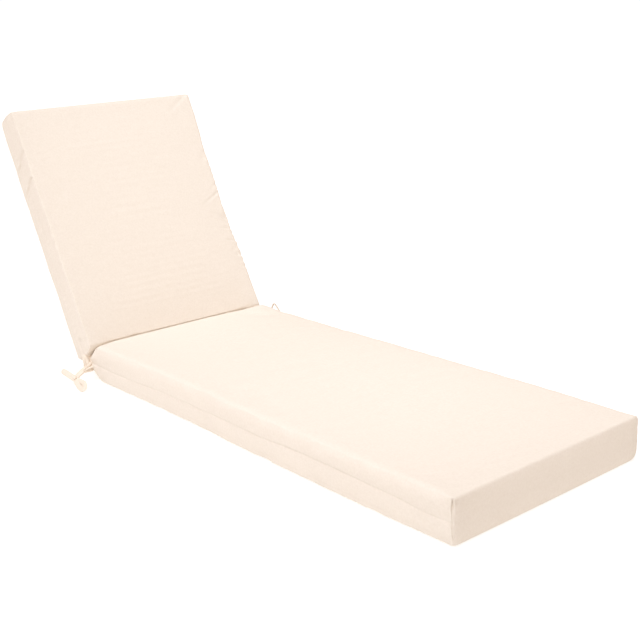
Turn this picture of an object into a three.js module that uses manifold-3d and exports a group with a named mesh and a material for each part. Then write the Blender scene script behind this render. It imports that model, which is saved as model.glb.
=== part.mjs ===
// A sun lounger cushion: one sewn cover over two filled sections, a long seat that lies flat and a
// shorter back that leans up from it at the sewn hinge line, with a tape tied in a bow at each end
// of that line. Millimetres, +Z up, +Y from the foot towards the head. The origin is the centre of
// the seat's flat underside.
import * as THREE from 'three';
import { mergeVertices } from 'three/addons/utils/BufferGeometryUtils.js';
import Module from 'manifold-3d';

const wasm = await Module();
wasm.setup();

// Driving dimensions of the cushion
const WIDTH = 566;
const THICKNESS = 102;
const SEAT_LENGTH = 1320; // foot end to hinge line
const BACK_LENGTH = 709; // hinge line to head end
const RECLINE = THREE.MathUtils.degToRad(28); // the back's lean from upright

// How the filled cover rounds, crowns and draws in
const EDGE_ROUND = 21;
const LOWER_EDGE_ROUND = 18; // the seat's edges that its weight presses on the surface
const FOOT_LOWER_ROUND = 10;
const BOXED_CORNER_ROUND = 7; // the sewn upright corners at foot and head
const BOXED_EDGE_SHARE = 0.4; // how much of the edge rounding is left at a boxed corner
const BOXED_EDGE_REACH = 45;
const CROWN = 5;
const CROWN_REACH = 150; // distance from an end over which the crown rises
const END_CROWN = 4;
const HEAD_SKEW = 2.5; // how much longer the back is at its right side than at its middle
const SIDE_BULGE = 2.5;
const SEAM_DEPTH = 3;
const SEAM_HALF_WIDTH = 5;

// The sewn hinge line, where top and bottom panels are stitched together
const HINGE_HALF_THICKNESS = 3;
const HINGE_DRAW_IN = 13; // the cover's sides run in to the stitched ends of the line
const HINGE_DRAW_REACH = 18;
const PINCH_FRONT = 40; // run of the swell on the folded side
const PINCH_FRONT_AT_ENDS = 56;
const PINCH_END_REACH = 80;
const PINCH_UNDER = 50; // run of the swell under the seat
const PINCH_REAR = 24; // and behind the back
const FOLD_GAP = 1.2; // half of the slit between the two pressed faces

// Tape ties
const TAPE_WIDTH = 12.5;
const TAPE_THICKNESS = 2;

// Sides as they really run, drawn in from WIDTH / 2, with the side seam's height above the middle
const SEAT_ROWS = [
  { from_hinge: 0, left_in: 3, right_in: 1, seam_rise: 1 },
  { from_hinge: 120, left_in: 5, right_in: 1, seam_rise: 1 },
  { from_hinge: 300, left_in: 7, right_in: 1, seam_rise: 3 },
  { from_hinge: 470, left_in: 6, right_in: 0, seam_rise: 6 },
  { from_hinge: 690, left_in: -1, right_in: -1, seam_rise: 3 },
  { from_hinge: 850, left_in: -3, right_in: -2, seam_rise: 5 },
  { from_hinge: 1000, left_in: -4, right_in: -3, seam_rise: 4 },
  { from_hinge: 1150, left_in: -4, right_in: 0, seam_rise: 1 },
  { from_hinge: 1250, left_in: -2, right_in: 4, seam_rise: -3 },
  { from_hinge: SEAT_LENGTH, left_in: 0, right_in: 7, seam_rise: -1 },
];
const BACK_ROWS = [
  { from_hinge: 0, left_in: -3, right_in: 2, seam_rise: 1 },
  { from_hinge: 110, left_in: -4, right_in: 3, seam_rise: 0 },
  { from_hinge: 195, left_in: -3, right_in: 4, seam_rise: 2 },
  { from_hinge: 270, left_in: -4, right_in: 9, seam_rise: 3 },
  { from_hinge: 345, left_in: -3, right_in: 9, seam_rise: 2 },
  { from_hinge: 450, left_in: -3, right_in: 5, seam_rise: 1 },
  { from_hinge: 530, left_in: -2, right_in: 4, seam_rise: -1 },
  { from_hinge: 590, left_in: 1, right_in: -2, seam_rise: -1 },
  { from_hinge: 650, left_in: 2, right_in: -6, seam_rise: 0 },
  { from_hinge: BACK_LENGTH, left_in: 4, right_in: -5, seam_rise: 0 },
];

// Main creases, as soft troughs between two places on the laid-out cover, and a puff where the depth
// is below nothing. Rise is above the cover's middle.
const CREASES = [
  { name: 'right pucker low', along: [1515, 1536], across: [246, 284], rise: [52, 30], wide: 9, deep: 3 },
  { name: 'right pucker', along: [1574, 1590], across: [238, 282], rise: [52, 34], wide: 8, deep: 3 },
  { name: 'right pucker tall', along: [1618, 1650], across: [228, 282], rise: [52, 40], wide: 9, deep: 3.5 },
  { name: 'right pucker high', along: [1676, 1690], across: [248, 282], rise: [52, 24], wide: 8, deep: 3 },
  { name: 'right hollow', along: [1818, 1842], across: [262, 284], rise: [52, 10], wide: 14, deep: 3 },
  { name: 'left long crease', along: [1858, 1916], across: [-284, -276], rise: [18, 42], wide: 10, deep: 3 },
  { name: 'left short crease', along: [1764, 1808], across: [-284, -280], rise: [4, 38], wide: 9, deep: 3 },
  { name: 'head corner right', along: [1996, 2030], across: [246, 282], rise: [52, 40], wide: 9, deep: 4 },
  { name: 'head corner left', along: [2000, 2030], across: [-250, -280], rise: [52, 36], wide: 9, deep: 3 },
  { name: 'back dimple', along: [1761, 1802], across: [-214, -210], rise: [55, 55], wide: 12, deep: 2.5 },
  { name: 'foot corner left', along: [0, 6], across: [-262, -280], rise: [-4, -2], wide: 8, deep: 2.5 },
  { name: 'rear left tuck', along: [1296, 1270], across: [-280, -284], rise: [2, 6], wide: 10, deep: 3 },
  { name: 'rear right tuck', along: [1298, 1268], across: [280, 284], rise: [2, 8], wide: 10, deep: 3 },
  { name: 'back left tuck', along: [1344, 1376], across: [-280, -284], rise: [2, 10], wide: 10, deep: 3 },
  { name: 'back right tuck', along: [1344, 1380], across: [280, 284], rise: [2, 8], wide: 10, deep: 3 },
  { name: 'rear right puff', along: [1225, 1262], across: [240, 262], rise: [50, 50], wide: 34, deep: -4 },
];

// Worked-out places
const MIDDLE = THICKNESS / 2;
const HINGE_Y = SEAT_LENGTH / 2;
const TOTAL_LENGTH = SEAT_LENGTH + BACK_LENGTH;
const FOLD_ANGLE = (Math.PI / 2 - RECLINE) / 2;
const FOLD_UP = { y: -Math.sin(FOLD_ANGLE), z: Math.cos(FOLD_ANGLE) };

const clamp = THREE.MathUtils.clamp;
const lerp = THREE.MathUtils.lerp;
const smooth = (value, low, high) => THREE.MathUtils.smoothstep(value, low, high);

// A value that runs smoothly from row to row of a table
function rowValue(rows, column, fromHinge) {
  const last = rows.length - 1;
  const place = clamp(fromHinge, rows[0].from_hinge, rows[last].from_hinge);
  const next = clamp(rows.findIndex((row) => row.from_hinge >= place), 1, last);
  const low = rows[next - 1];
  const high = rows[next];
  return lerp(low[column], high[column], smooth(place, low.from_hinge, high.from_hinge));
}

// Height of a quarter round of this radius, at this distance in from its start
function quarterRound(radius, distance) {
  const rest = radius - clamp(distance, 0, radius);
  return Math.sqrt(radius * radius - rest * rest);
}

// The swell of the filling beside the hinge line, from the stitching to the full half thickness
function swell(fromHinge, pinch) {
  const share = Math.sin((Math.PI / 2) * clamp(fromHinge / pinch, 0, 1));
  return lerp(HINGE_HALF_THICKNESS, MIDDLE, share);
}

// Everything that shapes the cover's section at one distance along the laid-out cushion
function sectionAt(along) {
  const fromHinge = Math.abs(along - SEAT_LENGTH);
  const isSeat = along < SEAT_LENGTH;
  const rows = isSeat ? SEAT_ROWS : BACK_ROWS;
  const fromEnd = isSeat ? along : TOTAL_LENGTH - along;
  const lowerEdge = isSeat ? LOWER_EDGE_ROUND : EDGE_ROUND;
  const lowerEndRound = isSeat ? FOOT_LOWER_ROUND : EDGE_ROUND;
  const boxing = lerp(BOXED_EDGE_SHARE, 1, smooth(fromEnd, 0, BOXED_EDGE_REACH));
  const cornerIn = BOXED_CORNER_ROUND - quarterRound(BOXED_CORNER_ROUND, fromEnd);
  const hingeIn = HINGE_DRAW_IN * (1 - Math.sin((Math.PI / 2) * clamp(fromHinge / HINGE_DRAW_REACH, 0, 1)));
  return {
    along,
    fromHinge,
    isSeat,
    left: WIDTH / 2 - rowValue(rows, 'left_in', fromHinge) - cornerIn - hingeIn,
    right: WIDTH / 2 - rowValue(rows, 'right_in', fromHinge) - cornerIn - hingeIn,
    upperDrop: EDGE_ROUND - quarterRound(EDGE_ROUND, fromEnd),
    lowerDrop: lowerEndRound - quarterRound(lowerEndRound, fromEnd),
    upperRound: EDGE_ROUND * boxing,
    lowerRound: lowerEdge,
    crown: CROWN * smooth(fromEnd, 0, CROWN_REACH) * smooth(fromHinge, 0, CROWN_REACH),
    seamRise: rowValue(rows, 'seam_rise', fromHinge) * smooth(fromHinge, 0, HINGE_DRAW_REACH),
  };
}

function upperHalf(section, across) {
  const fromSide = WIDTH / 2 - Math.abs(across);
  const pinch = lerp(PINCH_FRONT_AT_ENDS, PINCH_FRONT, smooth(fromSide, 0, PINCH_END_REACH));
  return swell(section.fromHinge, pinch) - section.upperDrop;
}

function lowerHalf(section) {
  const pinch = section.isSeat ? PINCH_UNDER : PINCH_REAR;
  return swell(section.fromHinge, pinch) - section.lowerDrop;
}

// Steps round a section, as columns of a grid: COLUMNS across the top and bottom, LEVELS down a side
const FLAT_STEPS = 12;
const ARC_STEPS = 2;
const COLUMNS = FLAT_STEPS + 2 * ARC_STEPS;
const SIDE_SHARES = [0, 0.5, 1]; // from an edge's rounding down to the seam's lip
const LEVELS = 2 * (ARC_STEPS + SIDE_SHARES.length);
const ARC_STEP = Math.PI / 4 / ARC_STEPS;

// A point of the top or bottom panel, by column from left to right. facing is 1 above, -1 below.
function panelPoint(section, column, facing) {
  const fromSideColumn = Math.min(column, COLUMNS - column);
  const side = column * 2 < COLUMNS ? -1 : 1;
  const reach = side < 0 ? section.left : section.right;
  const half = facing > 0 ? upperHalf(section, side * reach) : lowerHalf(section);
  const wanted = facing > 0 ? section.upperRound : section.lowerRound;
  const round = Math.min(wanted, half * 0.9);
  if (fromSideColumn < ARC_STEPS) {
    const tilt = Math.PI / 4 - fromSideColumn * ARC_STEP;
    const outward = { x: side * Math.sin(tilt), z: facing * Math.cos(tilt) };
    const centre = { x: side * (reach - round), z: facing * (half - round) };
    return { x: centre.x + round * outward.x, z: centre.z + round * outward.z, outward };
  }
  const share = (column - ARC_STEPS) / FLAT_STEPS;
  const x = lerp(-(section.left - round), section.right - round, share);
  const level = facing > 0 ? upperHalf(section, x) : lowerHalf(section);
  const hasCrown = facing > 0 || !section.isSeat;
  const swellUp = hasCrown ? section.crown * (1 - (2 * share - 1) ** 2) : 0;
  return { x, z: facing * (level + swellUp), outward: { x: 0, z: facing } };
}

// A point of a side, by level from the top edge down to the bottom edge
function sidePoint(section, level, side) {
  const reach = side < 0 ? section.left : section.right;
  const facing = level * 2 < LEVELS ? 1 : -1;
  const half = facing > 0 ? upperHalf(section, side * reach) : lowerHalf(section);
  const wanted = facing > 0 ? section.upperRound : section.lowerRound;
  const round = Math.min(wanted, half * 0.9);
  const fromEdge = Math.min(level, LEVELS - level);
  const shrink = half / MIDDLE;
  const seamHeight = section.seamRise * shrink;
  if (fromEdge < ARC_STEPS) {
    const tilt = Math.PI / 4 + fromEdge * ARC_STEP;
    const outward = { x: side * Math.sin(tilt), z: facing * Math.cos(tilt) };
    const centre = { x: side * (reach - round), z: facing * (half - round) };
    return { x: centre.x + round * outward.x, z: centre.z + round * outward.z, outward };
  }
  const outward = { x: side, z: 0 };
  if (fromEdge === LEVELS / 2) {
    return { x: side * (reach - SEAM_DEPTH * shrink), z: seamHeight, outward };
  }
  const share = SIDE_SHARES[fromEdge - ARC_STEPS];
  const lip = seamHeight + facing * SEAM_HALF_WIDTH * shrink;
  const z = lerp(facing * (half - round), lip, share);
  const bulge = SIDE_BULGE * shrink * Math.sin(Math.PI * share);
  return { x: side * (reach + bulge - SIDE_BULGE * shrink * 0.5), z, outward };
}

// How far the creases pull the cover in at a place on the laid-out cushion
const creaseStart = new THREE.Vector3();
const creaseEnd = new THREE.Vector3();
const nearest = new THREE.Vector3();
const creaseLine = new THREE.Line3(creaseStart, creaseEnd);

function creaseDepth(x, along, z) {
  const here = new THREE.Vector3(x, along, z);
  let depth = 0;
  for (const crease of CREASES) {
    creaseStart.set(crease.across[0], crease.along[0], crease.rise[0]);
    creaseEnd.set(crease.across[1], crease.along[1], crease.rise[1]);
    creaseLine.closestPointToPoint(here, true, nearest);
    const apart = nearest.distanceTo(here) / crease.wide;
    depth += crease.deep * Math.exp(-apart * apart);
  }
  return depth;
}

// From the laid-out cushion to its place: the seat on the surface, the back leaning up from the
// hinge line, and the two swells beside that line pressed flat against each other
function foldPoint(x, along, z) {
  const fromHinge = Math.abs(along - SEAT_LENGTH);
  if (fromHinge === 0) {
    return new THREE.Vector3(x, HINGE_Y + z * FOLD_UP.y, MIDDLE + z * FOLD_UP.z);
  }
  const apart = fromHinge * Math.cos(FOLD_ANGLE) - z * Math.sin(FOLD_ANGLE);
  const pressed = fromHinge + Math.max(0, FOLD_GAP - apart) / Math.cos(FOLD_ANGLE);
  if (along < SEAT_LENGTH) {
    return new THREE.Vector3(x, HINGE_Y - pressed, MIDDLE + z);
  }
  const y = HINGE_Y + pressed * Math.sin(RECLINE) - z * Math.cos(RECLINE);
  return new THREE.Vector3(x, y, MIDDLE + pressed * Math.cos(RECLINE) + z * Math.sin(RECLINE));
}

function place(section, point) {
  const flat = section.isSeat && point.outward.z < 0;
  const inward = flat ? 0 : creaseDepth(point.x, section.along, point.z);
  const share = section.isSeat ? 0 : section.fromHinge / BACK_LENGTH;
  const skew = (HEAD_SKEW * share * share * point.x * 2) / WIDTH;
  const x = point.x - point.outward.x * inward;
  const z = point.z - point.outward.z * inward;
  return foldPoint(x, section.along + skew, z);
}

// Distances along the laid-out cushion at which its section is worked out
function stations() {
  const list = [];
  for (let step = 0; step <= 4; step += 1) {
    const inFromEnd = EDGE_ROUND * (1 - Math.cos((Math.PI / 8) * step));
    list.push(inFromEnd, TOTAL_LENGTH - inFromEnd);
  }
  for (const fromHinge of [0, 3, 8, 14, 20, 26, 32, 40, 58]) {
    list.push(SEAT_LENGTH - fromHinge, SEAT_LENGTH + fromHinge);
  }
  const seatPitch = 50;
  for (let along = 60; along < SEAT_LENGTH - 70; along += seatPitch) {
    list.push(along);
  }
  const backPitch = 17;
  for (let along = SEAT_LENGTH + 76; along < TOTAL_LENGTH - 28; along += backPitch) {
    list.push(along);
  }
  return [...new Set(list.map((value) => Math.round(value * 100) / 100))].sort((a, b) => a - b);
}

// The ring of points round one section, starting at the top left edge
function ring(section) {
  const points = [];
  for (let column = 0; column < COLUMNS; column += 1) points.push(panelPoint(section, column, 1));
  for (let level = 0; level < LEVELS; level += 1) points.push(sidePoint(section, level, 1));
  for (let column = COLUMNS; column > 0; column -= 1) points.push(panelPoint(section, column, -1));
  for (let level = LEVELS; level > 0; level -= 1) points.push(sidePoint(section, level, -1));
  return points.map((point) => place(section, point));
}

// Where a grid place of an end face falls on the ring, or -1 inside it
function ringIndex(column, level) {
  if (level === 0) return column;
  if (column === COLUMNS) return COLUMNS + level;
  if (level === LEVELS) return 2 * COLUMNS + LEVELS - column;
  if (column === 0) return 2 * (COLUMNS + LEVELS) - level;
  return -1;
}

// A grid over one end, filled in from its ring and swelling outwards
function endCap(positions, triangles, ringStart, rim, outward, flip) {
  const index = [];
  const at = (column, level) => rim[ringIndex(column, level)];
  for (let level = 0; level <= LEVELS; level += 1) {
    for (let column = 0; column <= COLUMNS; column += 1) {
      const onRing = ringIndex(column, level);
      if (onRing >= 0) {
        index.push(ringStart + onRing);
        continue;
      }
      const across = column / COLUMNS;
      const down = level / LEVELS;
      const point = new THREE.Vector3();
      point.addScaledVector(at(0, level), 1 - across).addScaledVector(at(COLUMNS, level), across);
      point.addScaledVector(at(column, 0), 1 - down).addScaledVector(at(column, LEVELS), down);
      point.addScaledVector(at(0, 0), -(1 - across) * (1 - down));
      point.addScaledVector(at(COLUMNS, 0), -across * (1 - down));
      point.addScaledVector(at(0, LEVELS), -(1 - across) * down);
      point.addScaledVector(at(COLUMNS, LEVELS), -across * down);
      const swellOut = END_CROWN * Math.sin(Math.PI * across) * Math.sin(Math.PI * down);
      point.addScaledVector(outward, swellOut);
      index.push(positions.length);
      positions.push(point);
    }
  }
  const row = COLUMNS + 1;
  for (let level = 0; level < LEVELS; level += 1) {
    for (let column = 0; column < COLUMNS; column += 1) {
      const corner = level * row + column;
      const quad = [index[corner], index[corner + 1], index[corner + row + 1], index[corner + row]];
      if (flip) quad.reverse();
      triangles.push([quad[0], quad[1], quad[2]], [quad[0], quad[2], quad[3]]);
    }
  }
}

// The whole cover as one closed skin
function coverGeometry() {
  const positions = [];
  const triangles = [];
  const places = stations();
  const rings = places.map((along) => ring(sectionAt(along)));
  const around = rings[0].length;
  for (const points of rings) positions.push(...points);
  for (let step = 0; step + 1 < rings.length; step += 1) {
    for (let turn = 0; turn < around; turn += 1) {
      const here = step * around + turn;
      const beside = step * around + ((turn + 1) % around);
      triangles.push([here, beside, here + around], [beside, beside + around, here + around]);
    }
  }
  const foot = new THREE.Vector3(0, -1, 0);
  const head = new THREE.Vector3(0, Math.sin(RECLINE), Math.cos(RECLINE));
  endCap(positions, triangles, 0, rings[0], foot, true);
  endCap(positions, triangles, (rings.length - 1) * around, rings[rings.length - 1], head, false);
  return indexedGeometry(positions, triangles);
}

function indexedGeometry(positions, triangles) {
  const geometry = new THREE.BufferGeometry();
  const flat = positions.flatMap((point) => [point.x, point.y, point.z]);
  geometry.setAttribute('position', new THREE.Float32BufferAttribute(flat, 3));
  geometry.setIndex(triangles.flat());
  return geometry;
}

// Tape ties, laid out for the left end of the hinge line. Each run is a flat tape along a curve.
// Places are from the end of the hinge line: out from the cushion, towards the head, and up.
const TIES = {
  tie_left: {
    mirror: -1,
    seat_tab: { from: [13.5, -41, 3], by: [15, -29, -2], to: [15, -16, -12], lies: [0, 0.3, 0.95] },
    back_tab: { from: [15.6, -6, 20], by: [15.6, -8, 8], to: [15.4, -13, -8], lies: [0, 1, 0.2] },
    gather: { at: [15.5, -15, -13], size: [6.5, 9, 11] },
    stem: { from: [17, -15, -15], by: [38, -15, -23], to: [57, -16, -33.5], lies: [0, 1, 0], apart: 3.2 },
    knot: { at: [57.5, -16, -33.8], size: [8, 8, 7] },
    closed_loop: { tip: [70, 31, -17.5], opening: 5, lies: [-0.55, 0.1, 0.8] },
    open_loop: { tip: [76, -98, -42], opening: 14, lies: [0.89, 0.24, 0.39] },
  },
  tie_right: {
    mirror: 1,
    seat_tab: { from: [14.2, -36, 4], by: [15, -19, 1], to: [14, -3, -6], lies: [0, 0.3, 0.95] },
    back_tab: { from: [15.8, 21, 15], by: [16.6, 12, 6], to: [14, 1, -4], lies: [0, 0.8, -0.6] },
    gather: { at: [12.4, 0, -6], size: [10, 9, 12] },
    stem: { from: [15, -3, -5], by: [36, -19, -3], to: [56, -33, 0.6], lies: [0, 1, 0], apart: 3.4 },
    knot: { at: [57.8, -34, 1.7], size: [8, 8, 7] },
    closed_loop: { tip: [82, 8, -18], opening: 5, lies: [-0.5, 0.1, 0.8] },
    open_loop: { tip: [60.5, -27.5, 40], opening: 22, lies: [0.6, 0.75, -0.26] },
  },
};
const TAB_STEPS = 4;
const LOOP_STEPS = 18;
const LOOP_ROOT = 2.5; // how far from the knot's middle each end of a loop enters it

// A flat tape swept along a curve. lies is the direction that its width keeps to.
function tape(curve, lies, steps) {
  const positions = [];
  const triangles = [];
  const wanted = new THREE.Vector3(...lies).normalize();
  const corners = [[-1, -1], [1, -1], [1, 1], [-1, 1]];
  for (let step = 0; step <= steps; step += 1) {
    const centre = curve.getPoint(step / steps);
    const along = curve.getTangent(step / steps);
    const across = wanted.clone().addScaledVector(along, -wanted.dot(along)).normalize();
    const through = new THREE.Vector3().crossVectors(along, across);
    for (const [acrossSign, throughSign] of corners) {
      const point = centre.clone().addScaledVector(across, (acrossSign * TAPE_WIDTH) / 2);
      positions.push(point.addScaledVector(through, (throughSign * TAPE_THICKNESS) / 2));
    }
  }
  for (let step = 0; step < steps; step += 1) {
    for (let turn = 0; turn < 4; turn += 1) {
      const here = step * 4 + turn;
      const beside = step * 4 + ((turn + 1) % 4);
      triangles.push([here, beside, here + 4], [beside, beside + 4, here + 4]);
    }
  }
  const last = steps * 4;
  triangles.push([0, 2, 1], [0, 3, 2], [last, last + 1, last + 2], [last, last + 2, last + 3]);
  return indexedGeometry(positions, triangles);
}

function bend(points) {
  return new THREE.CatmullRomCurve3(points, false, 'centripetal');
}

// A bow's loop: out from the knot to its tip and back, opened beside the line between them
function loopCurve(knot, tip, opening, lies) {
  const out = tip.clone().sub(knot);
  const aside = new THREE.Vector3().crossVectors(out, new THREE.Vector3(...lies)).normalize();
  const at = (share, side) => knot.clone().addScaledVector(out, share).addScaledVector(aside, side);
  const half = opening / 2;
  const shape = [[0, LOOP_ROOT], [0.3, half * 0.7], [0.68, half], [0.93, half * 0.7], [1, 0]];
  const outward = shape.map(([share, side]) => at(share, side));
  const back = shape.slice(0, -1).reverse().map(([share, side]) => at(share, -side));
  return bend([...outward, ...back]);
}

function lump(at, size) {
  const geometry = new THREE.SphereGeometry(1, 10, 6);
  return geometry.scale(...size).translate(at.x, at.y, at.z);
}

function solidOf(geometry) {
  const bare = geometry.clone();
  bare.deleteAttribute('normal');
  bare.deleteAttribute('uv');
  const merged = mergeVertices(bare, 1e-4);
  const mesh = new wasm.Mesh({
    numProp: 3,
    vertProperties: new Float32Array(merged.attributes.position.array),
    triVerts: new Uint32Array(merged.index.array),
  });
  const solid = new wasm.Manifold(mesh);
  return solid.volume() < 0 ? new wasm.Manifold(flipped(mesh)) : solid;
}

function flipped(mesh) {
  const triVerts = new Uint32Array(mesh.triVerts.length);
  for (let at = 0; at < triVerts.length; at += 3) {
    triVerts.set([mesh.triVerts[at], mesh.triVerts[at + 2], mesh.triVerts[at + 1]], at);
  }
  return new wasm.Mesh({ numProp: 3, vertProperties: mesh.vertProperties, triVerts });
}

function geometryOf(solid) {
  const mesh = solid.getMesh();
  const geometry = new THREE.BufferGeometry();
  geometry.setAttribute('position', new THREE.BufferAttribute(new Float32Array(mesh.vertProperties), 3));
  geometry.setIndex(new THREE.BufferAttribute(new Uint32Array(mesh.triVerts), 1));
  return geometry;
}

// One tie: the two tabs of the cover drawn together in a gather, the doubled tape, and its bow
function tieSolid(tie) {
  const end = WIDTH / 2 - HINGE_DRAW_IN;
  const spot = ([out, towardsHead, up]) =>
    new THREE.Vector3(tie.mirror * (end + out), HINGE_Y + towardsHead, MIDDLE + up);
  const turned = ([out, towardsHead, up]) => [tie.mirror * out, towardsHead, up];
  const pieces = [];
  for (const tab of [tie.seat_tab, tie.back_tab]) {
    pieces.push(tape(bend([spot(tab.from), spot(tab.by), spot(tab.to)]), tab.lies, TAB_STEPS));
  }
  const { stem } = tie;
  for (const side of [-1, 1]) {
    const shift = new THREE.Vector3(0, 0, (side * stem.apart) / 2);
    const route = [stem.from, stem.by, stem.to].map((point) => spot(point).add(shift));
    pieces.push(tape(bend(route), stem.lies, TAB_STEPS));
  }
  pieces.push(lump(spot(tie.gather.at), tie.gather.size), lump(spot(tie.knot.at), tie.knot.size));
  for (const loop of [tie.closed_loop, tie.open_loop]) {
    const lies = turned(loop.lies);
    pieces.push(tape(loopCurve(spot(tie.knot.at), spot(loop.tip), loop.opening, lies), lies, LOOP_STEPS));
  }
  return pieces.map(solidOf).reduce((whole, piece) => whole.add(piece));
}

// Materials: pale woven cloth for the cover, the same cloth folded into tape for the ties
const coverCloth = new THREE.MeshStandardMaterial({ color: 0xf6e7d3, roughness: 0.92, metalness: 0 });
const tapeCloth = new THREE.MeshStandardMaterial({ color: 0xf2dfc6, roughness: 0.9, metalness: 0 });

const loungerCushion = new THREE.Group();

const cushion = new THREE.Mesh(coverGeometry(), coverCloth);
cushion.name = 'cushion';
loungerCushion.add(cushion);

for (const [name, tie] of Object.entries(TIES)) {
  const mesh = new THREE.Mesh(geometryOf(tieSolid(tie)), tapeCloth);
  mesh.name = name;
  loungerCushion.add(mesh);
}

export default loungerCushion;
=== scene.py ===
# %% [markdown]
# # A sun lounger cushion
#
# The real thing is one sewn cover over two filled sections: a long seat that lies flat, and a
# shorter back that leans up from it at a line where top and bottom panels are stitched together.
# A narrow tape at each end of that line is tied in a bow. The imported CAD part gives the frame, in
# metres: +Z is up, +Y runs from the foot towards the head, and the origin is under the middle of
# the seat.

# %% Load the frame
import math

import bmesh
import bpy
import numpy as np
from mathutils import Matrix, Vector


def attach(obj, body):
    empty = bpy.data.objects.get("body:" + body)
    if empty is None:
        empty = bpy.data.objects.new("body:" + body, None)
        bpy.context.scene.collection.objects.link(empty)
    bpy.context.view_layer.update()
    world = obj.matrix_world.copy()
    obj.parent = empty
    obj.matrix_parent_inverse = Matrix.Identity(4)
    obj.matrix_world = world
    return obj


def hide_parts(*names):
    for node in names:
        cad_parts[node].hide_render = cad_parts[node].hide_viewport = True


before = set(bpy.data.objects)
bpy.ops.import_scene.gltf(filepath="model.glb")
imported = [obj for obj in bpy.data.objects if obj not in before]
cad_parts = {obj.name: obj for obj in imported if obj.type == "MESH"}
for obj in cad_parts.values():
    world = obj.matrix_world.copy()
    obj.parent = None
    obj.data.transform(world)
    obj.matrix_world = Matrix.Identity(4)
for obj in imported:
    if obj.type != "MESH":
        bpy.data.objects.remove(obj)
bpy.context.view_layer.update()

print("CAD nodes:", sorted(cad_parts))

# %% [markdown]
# ## The camera
#
# The cushion was photographed from its left foot end, a little above it, with a normal lens held
# almost level. A camera looks along its own -Z, so the three directions of its view are worked out
# first and set as the columns of its rotation.

# %% Put the camera where the photographer stood
CAMERA_AT = (-1.5219, -1.8213, 0.9141)
CAMERA_AZIMUTH = math.radians(-39.537)
CAMERA_ELEVATION = math.radians(15.983)
CAMERA_ROLL = math.radians(-2.296)
CAMERA_LENS = 60.11  # millimetres, on a sensor 36 mm wide

flat_back = math.cos(CAMERA_ELEVATION)
view_back = Vector((
    math.sin(CAMERA_AZIMUTH) * flat_back,
    -math.cos(CAMERA_AZIMUTH) * flat_back,
    math.sin(CAMERA_ELEVATION),
))
level_right = Vector((0, 0, 1)).cross(view_back).normalized()
level_up = view_back.cross(level_right)
view_right = math.cos(CAMERA_ROLL) * level_right + math.sin(CAMERA_ROLL) * level_up
view_up = view_back.cross(view_right)

bpy.ops.object.camera_add(location=CAMERA_AT)
camera = bpy.context.object
camera.name = "camera"
camera.rotation_euler = Matrix((view_right, view_up, view_back)).transposed().to_euler()
camera.data.sensor_width = 36
camera.data.lens = CAMERA_LENS
bpy.context.scene.camera = camera
print("camera looks along", tuple(round(value, 3) for value in -view_back))

# %% [markdown]
# ## Floor and light
#
# The photograph is a high-key studio picture on a table that glows: it is lit from within, so that
# it stays white and holds no deep shadow. One very large soft light stands above and to the left,
# and a smaller one over the seat faces the back. The room gives a weak warm light from all round.
# The big light is a sun with a very wide disc, because a sun lights the whole floor evenly and a
# wide disc softens every shadow. The foot end faces away from both lights, so it is the darkest
# and warmest side. A Light Path node tells what the camera sees from what lights the cushion: both
# the floor and the room look whiter than the light they give.

# %% Glowing floor
FLOOR_SIZE = 60.0
FLOOR_DROP = 0.0005  # the floor lies just under the cushion, so that the two don't flicker
FLOOR_GREY = (0.6, 0.6, 0.6)
FLOOR_GLOW = 0.47        # what the floor gives to the cushion
FLOOR_GLOW_SEEN = 0.62   # what the camera sees: the picture is so light that no shadow shows

bpy.ops.mesh.primitive_plane_add(size=FLOOR_SIZE, location=(0, 0, -FLOOR_DROP))
floor = bpy.context.object
floor.name = "studio_floor"

floor_paper = bpy.data.materials.new("floor_paper")
floor_paper.use_nodes = True
paper = floor_paper.node_tree.nodes["Principled BSDF"]
paper.inputs["Base Color"].default_value = (*FLOOR_GREY, 1)
paper.inputs["Roughness"].default_value = 0.9
paper.inputs["Specular IOR Level"].default_value = 0.1
paper.inputs["Emission Color"].default_value = (1, 1, 1, 1)
paper_nodes = floor_paper.node_tree.nodes
paper_links = floor_paper.node_tree.links
seen_floor = paper_nodes.new("ShaderNodeLightPath")
glow = paper_nodes.new("ShaderNodeMapRange")
glow.inputs["To Min"].default_value = FLOOR_GLOW
glow.inputs["To Max"].default_value = FLOOR_GLOW_SEEN
paper_links.new(seen_floor.outputs["Is Camera Ray"], glow.inputs["Value"])
paper_links.new(glow.outputs["Result"], paper.inputs["Emission Strength"])
floor.data.materials.append(floor_paper)
print("floor glows", FLOOR_GLOW, "and is seen at", FLOOR_GLOW_SEEN)

# %% Room light
ROOM_COLOUR = (1.32, 0.97, 0.67)
ROOM_STRENGTH = 0.331
SWEEP_WHITE = 1.05  # what the camera sees above the floor's far edge

world = bpy.data.worlds.new("white_room")
bpy.context.scene.world = world
world.use_nodes = True
room_nodes = world.node_tree.nodes
room_links = world.node_tree.links
room = room_nodes["Background"]
room.inputs["Color"].default_value = (*ROOM_COLOUR, 1)
room.inputs["Strength"].default_value = ROOM_STRENGTH
sweep = room_nodes.new("ShaderNodeBackground")
sweep.inputs["Strength"].default_value = SWEEP_WHITE
sweep.inputs["Color"].default_value = (1, 1, 1, 1)
seen = room_nodes.new("ShaderNodeLightPath")
either = room_nodes.new("ShaderNodeMixShader")
room_links.new(seen.outputs["Is Camera Ray"], either.inputs["Fac"])
room_links.new(room.outputs["Background"], either.inputs[1])
room_links.new(sweep.outputs["Background"], either.inputs[2])
room_links.new(either.outputs["Shader"], room_nodes["World Output"].inputs["Surface"])

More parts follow.
